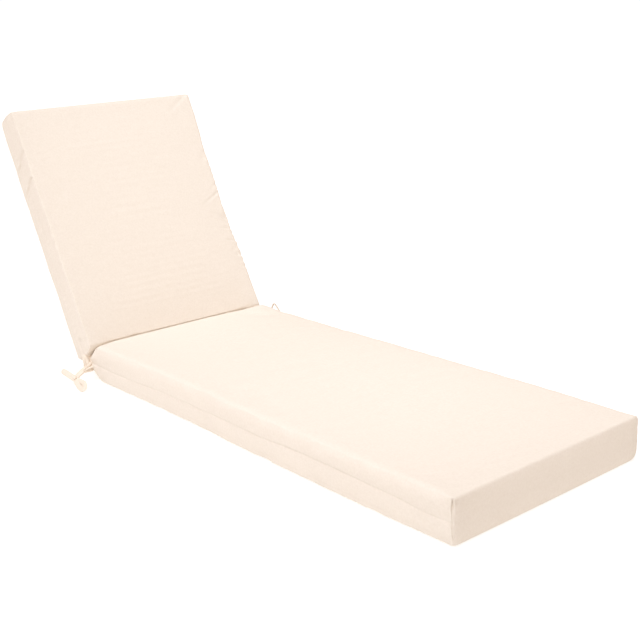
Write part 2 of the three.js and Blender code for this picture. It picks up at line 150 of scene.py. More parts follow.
# %% The two soft lights
SOFT_LIGHT_TOWARDS = Vector((-0.42, -0.12, 0.9))
SOFT_LIGHT_DISC = math.radians(50)
SOFT_LIGHT_STRENGTH = 2.1
SOFT_LIGHT_COLOUR = (0.915, 1.0, 1.125)
BACK_LIGHT_AT = Vector((0.2, -0.4, 1.5))
BACK_LIGHT_AIM = Vector((0, 0.78, 0.3))
BACK_LIGHT_SIZE = 1.0
BACK_LIGHT_WATTS = 5.6
BACK_LIGHT_COLOUR = (0.87, 1.0, 1.12)

bpy.ops.object.light_add(type="SUN", location=SOFT_LIGHT_TOWARDS * 4)
soft_light = bpy.context.object
soft_light.name = "large_soft_light"
soft_light.data.angle = SOFT_LIGHT_DISC
soft_light.data.energy = SOFT_LIGHT_STRENGTH
soft_light.data.color = SOFT_LIGHT_COLOUR
soft_light.rotation_euler = SOFT_LIGHT_TOWARDS.to_track_quat("Z", "Y").to_euler()

bpy.ops.object.light_add(type="AREA", location=BACK_LIGHT_AT)
back_light = bpy.context.object
back_light.name = "soft_light_for_the_back"
back_light.data.size = BACK_LIGHT_SIZE
back_light.data.energy = BACK_LIGHT_WATTS
back_light.data.color = BACK_LIGHT_COLOUR
back_light.rotation_euler = (BACK_LIGHT_AT - BACK_LIGHT_AIM).to_track_quat("Z", "Y").to_euler()

bpy.context.scene.view_settings.view_transform = "Standard"
print("soft light from", tuple(round(value, 2) for value in SOFT_LIGHT_TOWARDS))

# %% [markdown]
# ## Helpers for selecting and finishing
#
# An operator acts on everything that is selected, so each step starts by selecting nothing. A
# modifier is applied as soon as it has done its work, so the piece is plain mesh at the end. The
# vertices' places are moved as one array of numbers, which is far faster than one at a time.

# %% Select, apply and measure
def only(piece):
    bpy.ops.object.select_all(action="DESELECT")
    piece.select_set(True)
    bpy.context.view_layer.objects.active = piece


def apply_modifier(piece, modifier):
    only(piece)
    bpy.ops.object.modifier_apply(modifier=modifier.name)


def places(piece):
    """The piece's vertices, one row of x, y and z each."""
    co = np.empty(len(piece.data.vertices) * 3)
    piece.data.vertices.foreach_get("co", co)
    return co.reshape(-1, 3)


def set_places(piece, co):
    piece.data.vertices.foreach_set("co", np.ascontiguousarray(co, dtype=np.float32).ravel())
    piece.data.update()


def normals_of(piece):
    normals = np.empty(len(piece.data.vertices) * 3, np.float32)
    piece.data.vertex_normals.foreach_get("vector", normals)
    return normals.reshape(-1, 3).astype(float)


def add_group(piece, name, weights):
    """A vertex group with these weights, added one weight at a time."""
    group = piece.vertex_groups.new(name=name)
    rounded = np.round(weights, 3)
    for value in np.unique(rounded[rounded > 0]):
        chosen = np.nonzero(rounded == value)[0]
        group.add([int(index) for index in chosen], float(value), "REPLACE")


def smooth(value, low, high):
    """0 below low, 1 above high, and an even curve between them."""
    share = np.clip((value - low) / (high - low), 0, 1)
    return share * share * (3 - 2 * share)


# %% [markdown]
# ## The cover, laid out flat
#
# The cover starts as a box the size of the whole cushion laid flat. Its edges are cut into a grid,
# lengthwise first, so that loops of edges run exactly where the real cover has its seams: half way
# up both sides, up the four end corners, and across at the hinge line. A box cut this way keeps
# its seams through everything that follows, which a voxel remesh would not.

# %% Sizes of the cushion
MM = 0.001
WIDTH = 566 * MM
THICKNESS = 102 * MM
SEAT_LENGTH = 1320 * MM
BACK_LENGTH = 709 * MM
TOTAL_LENGTH = SEAT_LENGTH + BACK_LENGTH
RECLINE = math.radians(28)
MIDDLE = THICKNESS / 2
HINGE_Y = SEAT_LENGTH / 2
FOLD_ANGLE = (math.pi / 2 - RECLINE) / 2
HAIR = 0.001 * MM     # places closer than this count as the same

# %% A box cut into a grid
SEAT_CUTS = (9, 11)   # two rounds of cuts: 10 times 12 steps along the seat
BACK_CUTS = (9, 15)   # 10 times 16 along the back, which has the finer creases
ACROSS_CUTS = 31
HEIGHT_CUTS = 9
AXIS_SHARE = 0.99     # an edge runs along an axis if this much of its length does

bpy.ops.object.select_all(action="DESELECT")
bpy.ops.mesh.primitive_cube_add(size=1, location=(0, TOTAL_LENGTH / 2, 0))
cushion = bpy.context.object
cushion.name = "cushion_cover"
cushion.scale = (WIDTH, TOTAL_LENGTH, THICKNESS)
bpy.ops.object.transform_apply(location=True, rotation=True, scale=True)


def cut_edges(piece, direction, cuts, low=-10.0, high=10.0):
    """Cuts every edge along one axis, between two places on that axis, into equal steps."""
    bpy.ops.mesh.select_all(action="DESELECT")
    mesh = bmesh.from_edit_mesh(piece.data)
    for edge in mesh.edges:
        step = edge.verts[1].co - edge.verts[0].co
        middle = (edge.verts[1].co + edge.verts[0].co) / 2
        runs = abs(step[direction]) > AXIS_SHARE * step.length
        edge.select_set(runs and low < middle[direction] < high)
    bmesh.update_edit_mesh(piece.data)
    bpy.ops.mesh.subdivide(number_cuts=cuts)


bpy.ops.object.mode_set(mode="EDIT")
bpy.ops.mesh.select_mode(type="EDGE")
bpy.ops.mesh.select_all(action="SELECT")
bpy.ops.mesh.bisect(plane_co=(0, SEAT_LENGTH, 0), plane_no=(0, 1, 0))
for cuts in SEAT_CUTS:
    cut_edges(cushion, 1, cuts, high=SEAT_LENGTH)
for cuts in BACK_CUTS:
    cut_edges(cushion, 1, cuts, low=SEAT_LENGTH)
cut_edges(cushion, 0, ACROSS_CUTS)
cut_edges(cushion, 2, HEIGHT_CUTS)
bpy.ops.mesh.select_all(action="SELECT")
bpy.ops.uv.cube_project(cube_size=1.0, correct_aspect=False)
bpy.ops.object.mode_set(mode="OBJECT")
print("cover grid:", len(cushion.data.vertices), "vertices,", len(cushion.data.polygons), "faces")

# %% [markdown]
# ## The filled shape
#
# Filling rounds the cover's edges, crowns its top and swells beside the hinge line, where the two
# panels are stitched flat. The seams hold their line while the cloth beside them bulges. The two
# tables say how far the real sides stray from straight, read off the photograph's outline, with the
# height of the left side seam above the middle.

# %% How the sides really run
# distance from the hinge line, left side in, right side in, seam rise (mm)
SEAT_ROWS = (
    (0, 3, 1, 1), (60, 4, 1, -1), (120, 5, 1, -4), (230, 6, 1, -3), (342, 7, 1, 2),
    (449, 6, 0, 4.5), (527, 5, 0, 3.5), (651, 0, -1, 6), (763, -2, -1, 4), (848, -3, -2, 10),
    (907, -3, -2, 11.5), (982, -4, -3, 11), (1053, -4, -2, 10), (1121, -4, -1, 8.5),
    (1184, -3, 1, 6.5), (1244, -2, 4, 1.5), (1288, -1, 6, 0.5), (1320, 0, 7, 2.5),
)
BACK_ROWS = (
    (0, -3, 2, 1), (110, -4, 3, 0), (195, -3, 4, 2), (270, -4, 9, 3), (345, -3, 9, 2),
    (450, -4, 5, 1), (530, -4, 4, -1), (590, -3, -2, -1), (650, -3, -6, 0), (709, -1, -5, 0),
)


def row_value(rows, column, from_hinge):
    """A table's column in metres, smooth from row to row."""
    table = np.array(rows, float) * MM
    after = np.clip(np.searchsorted(table[:, 0], from_hinge), 1, len(table) - 1)
    low, high = table[after - 1], table[after]
    share = smooth(from_hinge, low[:, 0], high[:, 0])
    return low[:, column] + (high[:, column] - low[:, column]) * share


# %% Rounds of the edges
EDGE_ROUND = 19 * MM
BACK_EDGE_ROUND = 14 * MM
BACK_LEFT_EDGE_ROUND = 5 * MM  # the crisp front edge that the photograph shows down the back
LOWER_EDGE_ROUND = 20 * MM
FOOT_UPPER_ROUND = 5 * MM
FOOT_LOWER_ROUND = 13 * MM
HEAD_ROUND = 15 * MM
CORNER_ROUND = 2.5 * MM
LEFT_CORNER_EDGE_SHARE = 0.3   # how much of the edge's round is left at a corner
RIGHT_CORNER_EDGE_SHARE = 0.75
CORNER_EDGE_REACH = 45 * MM
MOST_OF_HALF = 0.9             # near the hinge line a round is no larger than this much of it
SKIN = 0.999                   # grid places from here out lie on the skin, not inside an end

# %% Crown, bulges and pinch
CROWN = 5 * MM
CROWN_REACH = 150 * MM
END_CROWN = 4 * MM
HEAD_BULGE = 4 * MM
HEAD_BULGE_REACH = 60 * MM
HEAD_SKEW = 2.5 * MM
SIDE_BULGE = 0.8 * MM
SIDE_BULGE_SPAN = 0.6   # each half of a side swells between the seam and this share of its height
HINGE_HALF_THICKNESS = 3 * MM
HINGE_DRAW_IN = 13 * MM
HINGE_DRAW_REACH = 18 * MM
PINCH_FRONT = 40 * MM
PINCH_FRONT_AT_ENDS = 56 * MM
PINCH_END_REACH = 80 * MM
PINCH_BACK = 29 * MM
PINCH_BACK_AT_ENDS = 34 * MM
PINCH_UNDER = 62 * MM
PINCH_REAR = 24 * MM
FOLD_GAP = 0.5 * MM
END_GIVE = 0.22         # at its ends the seat's swell is lower, and the back's settles on it
END_GIVE_FROM = 30 * MM


def quarter_round(radius, distance):
    rest = radius - np.clip(distance, 0, radius)
    return np.sqrt(radius ** 2 - rest ** 2)


def swell(from_hinge, pinch):
    share = np.sin(math.pi / 2 * np.clip(from_hinge / pinch, 0, 1))
    return HINGE_HALF_THICKNESS + (MIDDLE - HINGE_HALF_THICKNESS) * share


# %% Closer rows where the shape turns fastest
HEIGHT_ROWS = np.array([0, 2, 10, 22, 36, 51]) * MM
SEAT_CLOSENESS = 0.78
BACK_CLOSENESS = 0.25
SIDE_CLOSENESS = 0.82

flat = places(cushion)
height_step = THICKNESS / (HEIGHT_CUTS + 1)
level = np.round(np.abs(flat[:, 2]) / height_step).astype(int)
w = np.sign(np.round(flat[:, 2], 5)) * HEIGHT_ROWS[level] / MIDDLE
u = flat[:, 0] / (WIDTH / 2)
u = u + SIDE_CLOSENESS * np.sin(math.pi * u) / math.pi
on_seat = flat[:, 1] < SEAT_LENGTH - HAIR
section_length = np.where(on_seat, SEAT_LENGTH, BACK_LENGTH)
share = np.where(on_seat, flat[:, 1], flat[:, 1] - SEAT_LENGTH) / section_length
closeness = np.where(on_seat, SEAT_CLOSENESS, BACK_CLOSENESS)
share = share - closeness * np.sin(2 * math.pi * share) / (2 * math.pi)
along = np.where(on_seat, 0, SEAT_LENGTH) + share * section_length
on_seat = along <= SEAT_LENGTH + HAIR

# %% Cross-section, drawn in at the hinge line and at the corners
from_hinge = np.abs(along - SEAT_LENGTH)
from_end = np.where(on_seat, along, TOTAL_LENGTH - along)
is_top = w > 0


def either_row(column):
    """A column of the seat's table on the seat, and of the back's on the back."""
    seat_value = row_value(SEAT_ROWS, column, from_hinge)
    return np.where(on_seat, seat_value, row_value(BACK_ROWS, column, from_hinge))


left_in, right_in, seam_rise = either_row(1), either_row(2), either_row(3)
seam_rise = seam_rise * smooth(from_hinge, 0, HINGE_DRAW_REACH)
corner_in = CORNER_ROUND - quarter_round(CORNER_ROUND, from_end)
drawn_share = np.clip(from_hinge / HINGE_DRAW_REACH, 0, 1)
hinge_in = HINGE_DRAW_IN * (1 - np.sin(math.pi / 2 * drawn_share))
reach = WIDTH / 2 - np.where(u < 0, left_in, right_in) - corner_in - hinge_in
x = u * reach

# %% Thickness, pinched towards the hinge line
foot_round = np.where(is_top, FOOT_UPPER_ROUND, FOOT_LOWER_ROUND)
end_round = np.where(on_seat, foot_round, HEAD_ROUND)
from_side = reach - np.abs(x)
near_end = 1 - smooth(from_side, 0, PINCH_END_REACH)
seat_pinch = PINCH_FRONT + (PINCH_FRONT_AT_ENDS - PINCH_FRONT) * near_end
back_pinch = PINCH_BACK + (PINCH_BACK_AT_ENDS - PINCH_BACK) * near_end
upper_pinch = np.where(on_seat, seat_pinch, back_pinch)
pinch = np.where(is_top, upper_pinch, np.where(on_seat, PINCH_UNDER, PINCH_REAR))
half = swell(from_hinge, pinch) - (end_round - quarter_round(end_round, from_end))
z = w * half

# %% Rounded long edges
corner_share = np.where(u < 0, LEFT_CORNER_EDGE_SHARE, RIGHT_CORNER_EDGE_SHARE)
boxing = corner_share + (1 - corner_share) * smooth(from_end, 0, CORNER_EDGE_REACH)
back_round = np.where(u < 0, BACK_LEFT_EDGE_ROUND, BACK_EDGE_ROUND)
upper_round = np.where(on_seat, EDGE_ROUND, back_round) * boxing
lower_round = np.where(on_seat, LOWER_EDGE_ROUND, EDGE_ROUND)
wanted = np.where(is_top, upper_round, lower_round)
rounding = np.minimum(wanted, half * MOST_OF_HALF)
core_x = np.clip(x, -(reach - rounding), reach - rounding)
core_z = np.clip(z, -(half - rounding), half - rounding)
out = np.hypot(x - core_x, z - core_z)
on_skin = (np.abs(u) > SKIN) | (np.abs(w) > SKIN)
scale = np.where(on_skin & (out > 1e-9), rounding / np.maximum(out, 1e-9), 1)
x = core_x + (x - core_x) * scale
z = core_z + (z - core_z) * scale
print("half width", (x.max() / MM).round(1), "mm, half thickness", (z.max() / MM).round(1), "mm")

# %% Crown, side bulge, seam line and end bulge
crowned = is_top | ~on_seat
crown = CROWN * smooth(from_end, 0, CROWN_REACH) * smooth(from_hinge, 0, CROWN_REACH)
crown = crown * np.clip(1 - (x / reach) ** 2, 0, 1) * (np.abs(w) > SKIN) * crowned
z = z + np.sign(w) * crown
on_side = np.abs(u) > SKIN
shrink = half / MIDDLE
side_share = np.clip(np.abs(w) / SIDE_BULGE_SPAN, 0, 1)
x = x + np.sign(u) * on_side * SIDE_BULGE * shrink * (np.sin(math.pi * side_share) - 0.5)
z = z + on_side * seam_rise * shrink * (1 - np.abs(w)) ** 2
on_end = (from_end < HAIR) & ~on_skin
end_bulge = END_CROWN * np.cos(math.pi / 2 * u) * np.cos(math.pi / 2 * w) * on_end
head_bulge = HEAD_BULGE * np.cos(math.pi / 2 * w) * (1 - smooth(from_end, 0, HEAD_BULGE_REACH))
along = along + np.where(on_seat, -end_bulge, end_bulge + head_bulge)
skew_share = np.where(on_seat, 0, from_hinge / BACK_LENGTH)
along = along + HEAD_SKEW * skew_share ** 2 * x * 2 / WIDTH


# %% Fold the back up from the hinge line
def end_give(up_the_fold):
    """How far the back may pass the fold's middle plane, at a distance up that plane."""
    return END_GIVE * np.maximum(0, up_the_fold - END_GIVE_FROM) * near_end * ~on_seat


def fold(x, along, z):
    """Laid-out places to standing ones, with the two swells pressed together at the hinge line."""
    from_hinge = np.abs(along - SEAT_LENGTH)
    apart = from_hinge * math.cos(FOLD_ANGLE) - z * math.sin(FOLD_ANGLE)
    up_the_fold = from_hinge * math.sin(FOLD_ANGLE) + z * math.cos(FOLD_ANGLE)
    too_near = np.maximum(0, FOLD_GAP - end_give(up_the_fold) - apart)
    pressed = from_hinge + too_near / math.cos(FOLD_ANGLE)
    lean, rise = math.sin(RECLINE), math.cos(RECLINE)
    y = np.where(along < SEAT_LENGTH, HINGE_Y - pressed, HINGE_Y + pressed * lean - z * rise)
    up = np.where(along < SEAT_LENGTH, MIDDLE + z, MIDDLE + pressed * rise + z * lean)
    at_hinge = from_hinge < HAIR
    y = np.where(at_hinge, HINGE_Y - z * math.sin(FOLD_ANGLE), y)
    up = np.where(at_hinge, MIDDLE + z * math.cos(FOLD_ANGLE), up)
    return np.stack([x, y, up], axis=1)


LEFT_EDGE_FROM = 60 * MM  # the back's left front edge turns soft this close to the hinge line

base = fold(x, along, z)
set_places(cushion, base)
is_side_seam = (np.abs(w) < 1 - SKIN) & on_side
is_corner_seam = (from_end < HAIR) & on_side
is_hinge = from_hinge < HAIR
is_left_edge = (u < -SKIN) & (w > SKIN) & ~on_seat & (from_hinge > LEFT_EDGE_FROM)
laid = np.stack([x, along, z], axis=1)
print("side seam vertices:", int(is_side_seam.sum()), "hinge vertices:", int(is_hinge.sum()))

# %% [markdown]
# ## Stuffing it
#
# A sewn cover is a little larger than its filling, and a seam is a little shorter than the cloth
# on either side of it. That is what makes real cushions pucker beside their seams. Blender's Cloth
# does the same here: the cloth may grow a little, the seam loops may shrink, pressure pushes from
# inside, and the filling, as a soft pull towards the starting shape, keeps it a cushion and not a
# balloon. The hinge line is held still. How far a point may move is capped at the end.

# %% Cloth over the filling
START_SMALLER = 1.0 * MM
STILL_BESIDE_HINGE = 4 * MM
LOOSE_BESIDE_HINGE = 30 * MM
FILLING_HOLD = 0.25
CLOTH_GROWTH = -0.006
SEAM_SHRINK = 0.018
PRESSURE = 1.2
LAST_FRAME = 20
MOVE_SHARE = 0.6  # the share of the cloth's movement that a firm filling lets through
MOST_MOVE = 6 * MM

only(cushion)
smaller = START_SMALLER * smooth(from_hinge, 0, PINCH_FRONT)
set_places(cushion, base - normals_of(cushion) * smaller[:, None])
start = places(cushion)
held_still = 1 - smooth(from_hinge, STILL_BESIDE_HINGE, LOOSE_BESIDE_HINGE)
add_group(cushion, "filling", np.maximum(held_still, FILLING_HOLD))
add_group(cushion, "seams", np.where(is_side_seam | is_corner_seam, 1.0, 0.0))


def stuff(piece):
    """Blows the cover up over its filling, and applies the result."""
    stuffing = piece.modifiers.new("stuffing", "CLOTH")
    cloth_set = stuffing.settings
    cloth_set.quality = 5
    cloth_set.mass = 0.15
    cloth_set.tension_stiffness = 25
    cloth_set.compression_stiffness = 25
    cloth_set.shear_stiffness = 8
    cloth_set.bending_stiffness = 0.3
    cloth_set.tension_damping = 10
    cloth_set.compression_damping = 10
    cloth_set.air_damping = 2
    cloth_set.vertex_group_mass = "filling"
    cloth_set.pin_stiffness = 1.0
    cloth_set.shrink_min = CLOTH_GROWTH
    cloth_set.shrink_max = SEAM_SHRINK
    cloth_set.vertex_group_shrink = "seams"
    cloth_set.use_pressure = True
    cloth_set.uniform_pressure_force = PRESSURE
    cloth_set.effector_weights.gravity = 0
    stuffing.point_cache.frame_end = LAST_FRAME
    for frame_number in range(1, LAST_FRAME + 1):
        bpy.context.scene.frame_set(frame_number)
    apply_modifier(piece, stuffing)
    bpy.context.scene.frame_set(1)


stuff(cushion)
moved = (places(cushion) - start) * MOVE_SHARE
distance = np.linalg.norm(moved, axis=1)
kept = np.minimum(1, MOST_MOVE / np.maximum(distance, 1e-9))
stuffed = start + moved * kept[:, None]
print("stuffing moved points by", (np.percentile(distance, [50, 90, 99, 100]) / MM).round(1), "mm")

# %% [markdown]
# ## Creases that the photograph shows
#
# The simulation gives creases of the right kind, but not the ones in the picture. The largest of
# those are pressed in as soft troughs between two places on the laid-out cover, each with a low
# ridge along its sides, the way cloth is pushed up beside a pucker. Small uneven gathers run along
# the side seams, and stronger ones down the right edge of the back, where the cloth is drawn up.

# %% The creases, and how deep each place is pressed in
# from (across, along, up) to (across, along, up), half width and depth, all in mm
CREASES = (
    ((268, 1494, 50), (249, 1531, 54), 3.4, 2.0), ((272, 1552, 50), (238, 1560, 54), 3, 1.4),
    ((270, 1590, 50), (234, 1600, 54), 3, 1.5), ((264, 1622, 52), (226, 1647, 55), 3.4, 2.4),
    ((266, 1708, 52), (206, 1678, 55), 3.6, 1.7), ((274, 1738, 48), (246, 1722, 54), 4, 1.1),
    ((256, 1818, 54), (280, 1842, 40), 9, 1.2), ((-287, 1909, 43), (-287, 1870, -21), 3.8, 3.4),
    ((-287, 1831, 40), (-288, 1799, -24), 3.8, 3.4), ((-287, 1700, -4), (-287, 1742, 20), 5, 1.6),
    ((198, 1975, 55), (268, 2022, 50), 5, 1.4), ((-250, 2006, 52), (-270, 2026, 46), 6, 0.8),
    ((-214, 1761, 55), (-210, 1802, 55), 9, 1.2), ((-279, 0, 34), (-268, 0, 40), 3.6, 2.2),
    ((-280, 0, 52), (-279, 0, 27), 2.8, 3.3), ((-280, 0, -51), (-279, 0, -36), 2.6, 3.0),
    ((-257, 0, -46), (-243, 0, -37), 4, 1.6), ((-272, 0, -30), (-262, 0, -22), 3.6, 1.2),
    ((-280, 1296, 2), (-284, 1270, 6), 7, 1.6), ((280, 1298, 2), (284, 1268, 8), 7, 1.6),
    ((-280, 1344, 2), (-284, 1376, 10), 7, 2.0), ((280, 1344, 2), (284, 1380, 8), 7, 2.0),
    ((240, 1225, 50), (262, 1262, 50), 32, -3.6), ((-283, 30, -12), (-283, 52, -34), 7, 1.0),
    ((-226, 560, 52), (-196, 700, 53), 22, 1.0), ((-236, 690, 52), (-222, 760, 53), 18, 0.8),
)
RIDGE_SHARE = 0.35
RIDGE_PLACE = 1.9  # how far out a ridge runs, and how wide it is, in half widths of its crease
RIDGE_WIDTH = 0.7


def crease_depth(laid):
    """How far each laid-out place is pressed in, in metres."""
    depth = np.zeros(len(laid))
    for begin, end, half_width, deep in CREASES:
        first, last = np.array(begin) * MM, np.array(end) * MM
        line = last - first
        share = np.clip((laid - first) @ line / (line @ line), 0, 1)
        apart = np.linalg.norm(laid - first - share[:, None] * line, axis=1) / (half_width * MM)
        trough = np.exp(-apart ** 2)
        ridge = np.exp(-((apart - RIDGE_PLACE) / RIDGE_WIDTH) ** 2)
        depth += deep * MM * (trough - RIDGE_SHARE * ridge)
    return depth


# %% Uneven ripples along a line of stitches
GATHER_SPACING = 19 * MM
GATHER_WANDER = 47 * MM
GATHER_FADING = 61 * MM
GATHER_PHASE = 0.4


def gathers(along):
    """Ripples between -1 and 1, as cloth makes where a thread draws it up."""
    wander = 1.7 * np.sin(along / GATHER_WANDER + GATHER_PHASE)
    wander = wander + 1.1 * np.sin(along / GATHER_SPACING + 2 * GATHER_PHASE)
    strength = 0.55 + 0.45 * np.sin(along / GATHER_FADING + 3 * GATHER_PHASE)
    return np.sin(2 * math.pi * along / GATHER_SPACING + wander) * strength


# %% How much of them each place has
GATHER_DEPTH = 0.8 * MM
SEAM_GATHERS = 0.3
SEAM_GATHER_REACH = 26 * MM
EDGE_GATHERS = 1.5
EDGE_GATHER_REACH = 16 * MM
EDGE_LINE = WIDTH / 2 - 14 * MM
EDGE_GATHERS_RISE = (90 * MM, 200 * MM)   # up the back from the hinge line
EDGE_GATHERS_FALL = (440 * MM, 560 * MM)
END_CALM = 20 * MM
HINGE_CALM = 40 * MM
GATHER_SLANT = 0.25

seam_apart = np.where(on_side, np.abs(z), MIDDLE + np.maximum(0, reach - np.abs(x)))
by_seam = np.exp(-(seam_apart / SEAM_GATHER_REACH) ** 2)
by_seam = by_seam * smooth(from_end, 0, END_CALM) * smooth(from_hinge, 0, HINGE_CALM)
edge_apart = np.hypot(np.maximum(0, EDGE_LINE - np.abs(x)), np.maximum(0, MIDDLE - z))
by_edge = np.exp(-(edge_apart / EDGE_GATHER_REACH) ** 2) * is_top * (u > 0) * ~on_seat
by_edge = by_edge * smooth(from_hinge, *EDGE_GATHERS_RISE)
by_edge = by_edge * (1 - smooth(from_hinge, *EDGE_GATHERS_FALL))
pulls = gathers(along + GATHER_SLANT * np.abs(x)) * (by_seam * SEAM_GATHERS + by_edge * EDGE_GATHERS)
print("strongest gather", round(float(np.abs(pulls).max() * GATHER_DEPTH / MM), 2), "mm")

# %% Keep the pressed faces apart and the underside flat
UNDERSIDE = 0.2 * MM

# how far each place lies behind the plane that halves the fold, and how far up that plane
from_hinge_y = stuffed[:, 1] - HINGE_Y
from_hinge_z = stuffed[:, 2] - MIDDLE
behind = from_hinge_y * math.cos(FOLD_ANGLE) + from_hinge_z * math.sin(FOLD_ANGLE)
up_the_fold = from_hinge_z * math.cos(FOLD_ANGLE) - from_hinge_y * math.sin(FOLD_ANGLE)
over_seat = np.maximum(behind + FOLD_GAP, 0)
over_back = np.minimum(behind - FOLD_GAP + end_give(up_the_fold), 0)
too_near = np.where(is_hinge, 0, np.where(on_seat, over_seat, over_back))
stuffed[:, 1] -= too_near * math.cos(FOLD_ANGLE)
stuffed[:, 2] -= too_near * math.sin(FOLD_ANGLE)
stuffed[:, 2] = np.maximum(stuffed[:, 2], UNDERSIDE)
set_places(cushion, stuffed)
print("places held apart at the fold:", int((np.abs(too_near) > 0.1 * MM).sum()))

# %% [markdown]
# ## Smoothing, then creases and seams
#
# One level of subdivision rounds the grid, but the four corner seams are edges where two panels
# meet, and the back's left front edge is pulled taut, so these are creased to stay crisp. The
# laid-out place of each point rides along as an attribute, and the subdivision gives the new points
# theirs. The creases and gathers are then pressed in on the finer mesh. The seams come last, with
# the Displace modifier: a vertex group marks the seam loops, and the modifier sinks them, because a
# seam is a narrow valley where the two edges of cloth are turned inwards and pull on the stitches.

# %% Subdivide with crisp seams and edge
BACK_SEAM_SHARE = 0.5    # how deep the back's seams are sunk, against the seat's
HEAD_CORNER_SHARE = 0.3
UNDER_SHARE = 0.6        # the seat rests from this share of its half thickness down
CORNER_CRISPNESS = 0.75
LEFT_EDGE_CRISPNESS = 0.6

carried = cushion.data.attributes.new("laid", "FLOAT_VECTOR", "POINT")
carried.data.foreach_set("vector", laid.astype(np.float32).ravel())
is_resting = (w < -UNDER_SHARE) & on_seat
for name, values in (("pulls", pulls), ("resting", is_resting * 1.0)):
    layer = cushion.data.attributes.new(name, "FLOAT", "POINT")
    layer.data.foreach_set("value", values.astype(np.float32))
crisp = cushion.data.attributes.new("crease_edge", "FLOAT", "EDGE")
for edge in cushion.data.edges:
    one_end, other_end = edge.vertices
    if is_corner_seam[one_end] and is_corner_seam[other_end]:
        crisp.data[edge.index].value = CORNER_CRISPNESS
    elif is_left_edge[one_end] and is_left_edge[other_end]:
        crisp.data[edge.index].value = LEFT_EDGE_CRISPNESS

add_group(cushion, "side_seam", is_side_seam * ~is_hinge * np.where(on_seat, 1.0, BACK_SEAM_SHARE))
add_group(cushion, "corner_seam", is_corner_seam * np.where(on_seat, 1.0, HEAD_CORNER_SHARE))
add_group(cushion, "hinge_line", np.where(is_hinge, 1.0, 0.0))
rounder = cushion.modifiers.new("rounder", "SUBSURF")
rounder.levels = rounder.render_levels = 1
apply_modifier(cushion, rounder)


# %% Press the creases and gathers in
def carried_values(piece, name, kind, width):
    """An attribute's values, width numbers for each vertex."""
    values = np.empty(len(piece.data.vertices) * width, np.float32)
    piece.data.attributes[name].data.foreach_get(kind, values)
    return values.reshape(-1, width).astype(float)


fine_laid = carried_values(cushion, "laid", "vector", 3)
fine_pulls = carried_values(cushion, "pulls", "value", 1)[:, 0]
resting = carried_values(cushion, "resting", "value", 1)[:, 0]
pressed_in = (crease_depth(fine_laid) + fine_pulls * GATHER_DEPTH) * (1 - resting)
set_places(cushion, places(cushion) - normals_of(cushion) * pressed_in[:, None])
print("deepest crease", round(float(pressed_in.max()) / MM, 1), "mm")

# %% Sink the seams
SEAM_SINK = 1.1 * MM
CORNER_SINK = 2.2 * MM
HINGE_SINK = 1.0 * MM

sinks = {"side_seam": SEAM_SINK, "corner_seam": CORNER_SINK, "hinge_line": HINGE_SINK}
for group_name, sink in sinks.items():
    valley = cushion.modifiers.new("valley", "DISPLACE")
    valley.vertex_group = group_name
    valley.mid_level = 0
    valley.strength = -sink
    apply_modifier(cushion, valley)
print("cushion cover:", len(cushion.data.vertices), "vertices", len(cushion.data.polygons), "faces")

# %% The cushion stands for the CAD cushion
only(cushion)
bpy.ops.object.shade_smooth()
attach(cushion, "root")
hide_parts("cushion")

# %% [markdown]
# ## Cloth, as shader nodes
#
# The cover and the tapes are one cloth: a plain weave of fine, slightly uneven threads. A node
# group makes the weave once, from the cloth's own place (the UV map, in metres). Each thread passes
# over and under the next, and each has its own tone, which gives the cloth its faint heathered look.
# The group puts out a height and a tone; colour, roughness and sheen stay in each material.

# %% The weave as a node group
def math_node(tree, operation, first, second=None):
    """A Math node fed by sockets or plain numbers."""
    node = tree.nodes.new("ShaderNodeMath")
    node.operation = operation
    for socket, value in zip(node.inputs, (first, second)):
        if isinstance(value, bpy.types.NodeSocket):
            tree.links.new(value, socket)
        elif value is not None:
            socket.default_value = value
    return node.outputs[0]


def noise_node(tree, place, scale):
    node = tree.nodes.new("ShaderNodeTexNoise")
    node.inputs["Scale"].default_value = scale
    tree.links.new(place, node.inputs["Vector"])
    return node.outputs["Fac"]


def vector_node(tree, x_value, y_value):
    node = tree.nodes.new("ShaderNodeCombineXYZ")
    tree.links.new(x_value, node.inputs["X"])
    tree.links.new(y_value, node.inputs["Y"])
    return node.outputs["Vector"]


def mix_node(tree, share, first, second):
    node = tree.nodes.new("ShaderNodeMix")
    tree.links.new(share, node.inputs["Factor"])
    tree.links.new(first, node.inputs["A"])
    tree.links.new(second, node.inputs["B"])
    return node.outputs["Result"]


# %% Warp over weft
THREAD_DIP = 0.55      # how high a thread still is where it passes under
SLUB_STRETCH = 0.02    # along a thread its tone changes at this share of the rate across threads
SLUB_SCALE = 3.7


